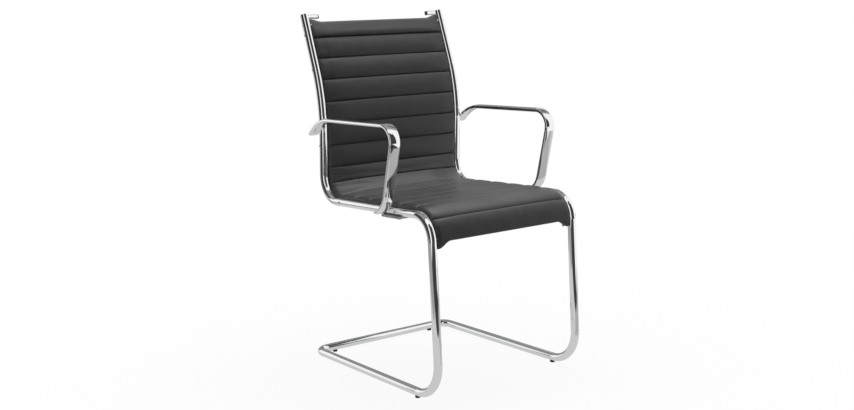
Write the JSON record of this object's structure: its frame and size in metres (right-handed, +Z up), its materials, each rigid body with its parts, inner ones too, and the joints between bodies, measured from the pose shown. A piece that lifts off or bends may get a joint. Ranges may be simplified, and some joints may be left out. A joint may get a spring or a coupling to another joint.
{
  "type": "visitor chair",
  "caption": "Cantilever visitor chair: bent chrome side tubes joined at the floor, flat strip arms and a ribbed black leather sling stretched between the tubes.",
  "frame": {"origin": "on the floor under the middle of the chair's overall width and depth", "axes": "+Z up; the sitter faces -Y; the chair's right side is at -X"},
  "size_m": [0.5324, 0.618, 0.9704],
  "materials": {
    "chrome": "polished chrome plate",
    "black_leather": "semi-matt black leather, padded and sewn in crosswise bands",
    "black_plastic": "matt",
    "steel": "zinc plated",
    "webbing": "woven webbing"
  },
  "bodies": {
    "root": {"right_side_tube": "chrome", "left_side_tube": "chrome", "right_top_cap": "chrome", "left_top_cap": "chrome", "right_front_bracket": "chrome", "left_front_bracket": "chrome", "right_armrest": "chrome", "left_armrest": "chrome", "seat_cross_plate": "chrome", "back_cover": "black_leather", "seat_cover": "black_leather", "rear_lining": "black_leather", "right_front_glide": "black_plastic", "left_front_glide": "black_plastic", "right_rear_glide": "black_plastic", "left_rear_glide": "black_plastic", "right_tab_plug": "black_plastic", "left_tab_plug": "black_plastic", "arm_bolts": "steel", "cross_plate_bolts": "steel", "sling_screws": "steel", "rear_joint_plug": "steel", "top_spreader_rod": "steel", "front_spreader_rod": "steel", "right_sling_edge_rail": "steel", "left_sling_edge_rail": "steel", "sling_webbing": "webbing"}
  },
  "joints": []
}
